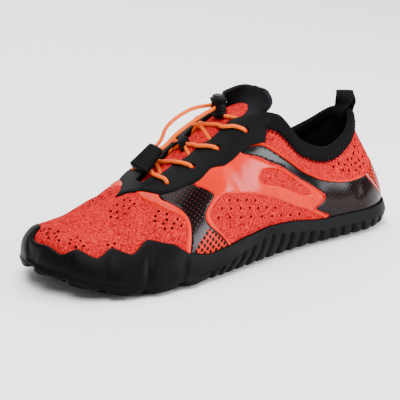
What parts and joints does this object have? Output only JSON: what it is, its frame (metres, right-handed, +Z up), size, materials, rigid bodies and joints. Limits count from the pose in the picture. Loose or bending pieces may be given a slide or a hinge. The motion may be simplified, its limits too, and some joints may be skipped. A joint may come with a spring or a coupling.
{
  "type": "water shoe",
  "caption": "Low mesh water shoe with a wrap-round rubber toe and sole, stretch collar, padded tongue, and an elastic lace with cord lock and end clip.",
  "frame": {"origin": "on the floor, under the middle of the shoe's outline", "axes": "+Z up, -X towards the toe, -Y towards the outer (lateral) side, +Y towards the inner (medial) side"},
  "size_m": [0.2802, 0.1098, 0.108],
  "materials": {
    "mesh_fabric": "red heather knit, uncoated",
    "black_fabric": "matte film and webbing",
    "stretch_fabric": "matte neoprene with jersey face",
    "rubber": "matte moulded rubber",
    "insole_foam": "fabric-topped foam",
    "lace_cord": "braided elastic cord",
    "toggle_plastic": "fine moulded texture"
  },
  "bodies": {
    "root": {"outsole": "rubber", "insole": "insole_foam", "upper": "mesh_fabric", "eyestay": "black_fabric", "collar_cuff": "stretch_fabric", "tongue": "mesh_fabric", "tongue_keeper": "black_fabric", "lace_bar": "lace_cord", "lace_cross_front": "lace_cord", "lace_cross_middle": "lace_cord", "lace_cross_top": "lace_cord", "cord_lock": "toggle_plastic", "lace_clip": "toggle_plastic", "lace_loop_outer": "lace_cord", "lace_loop_inner": "lace_cord", "lace_end_outer": "lace_cord", "lace_end_inner": "lace_cord", "heel_pull": "black_fabric"}
  },
  "joints": []
}
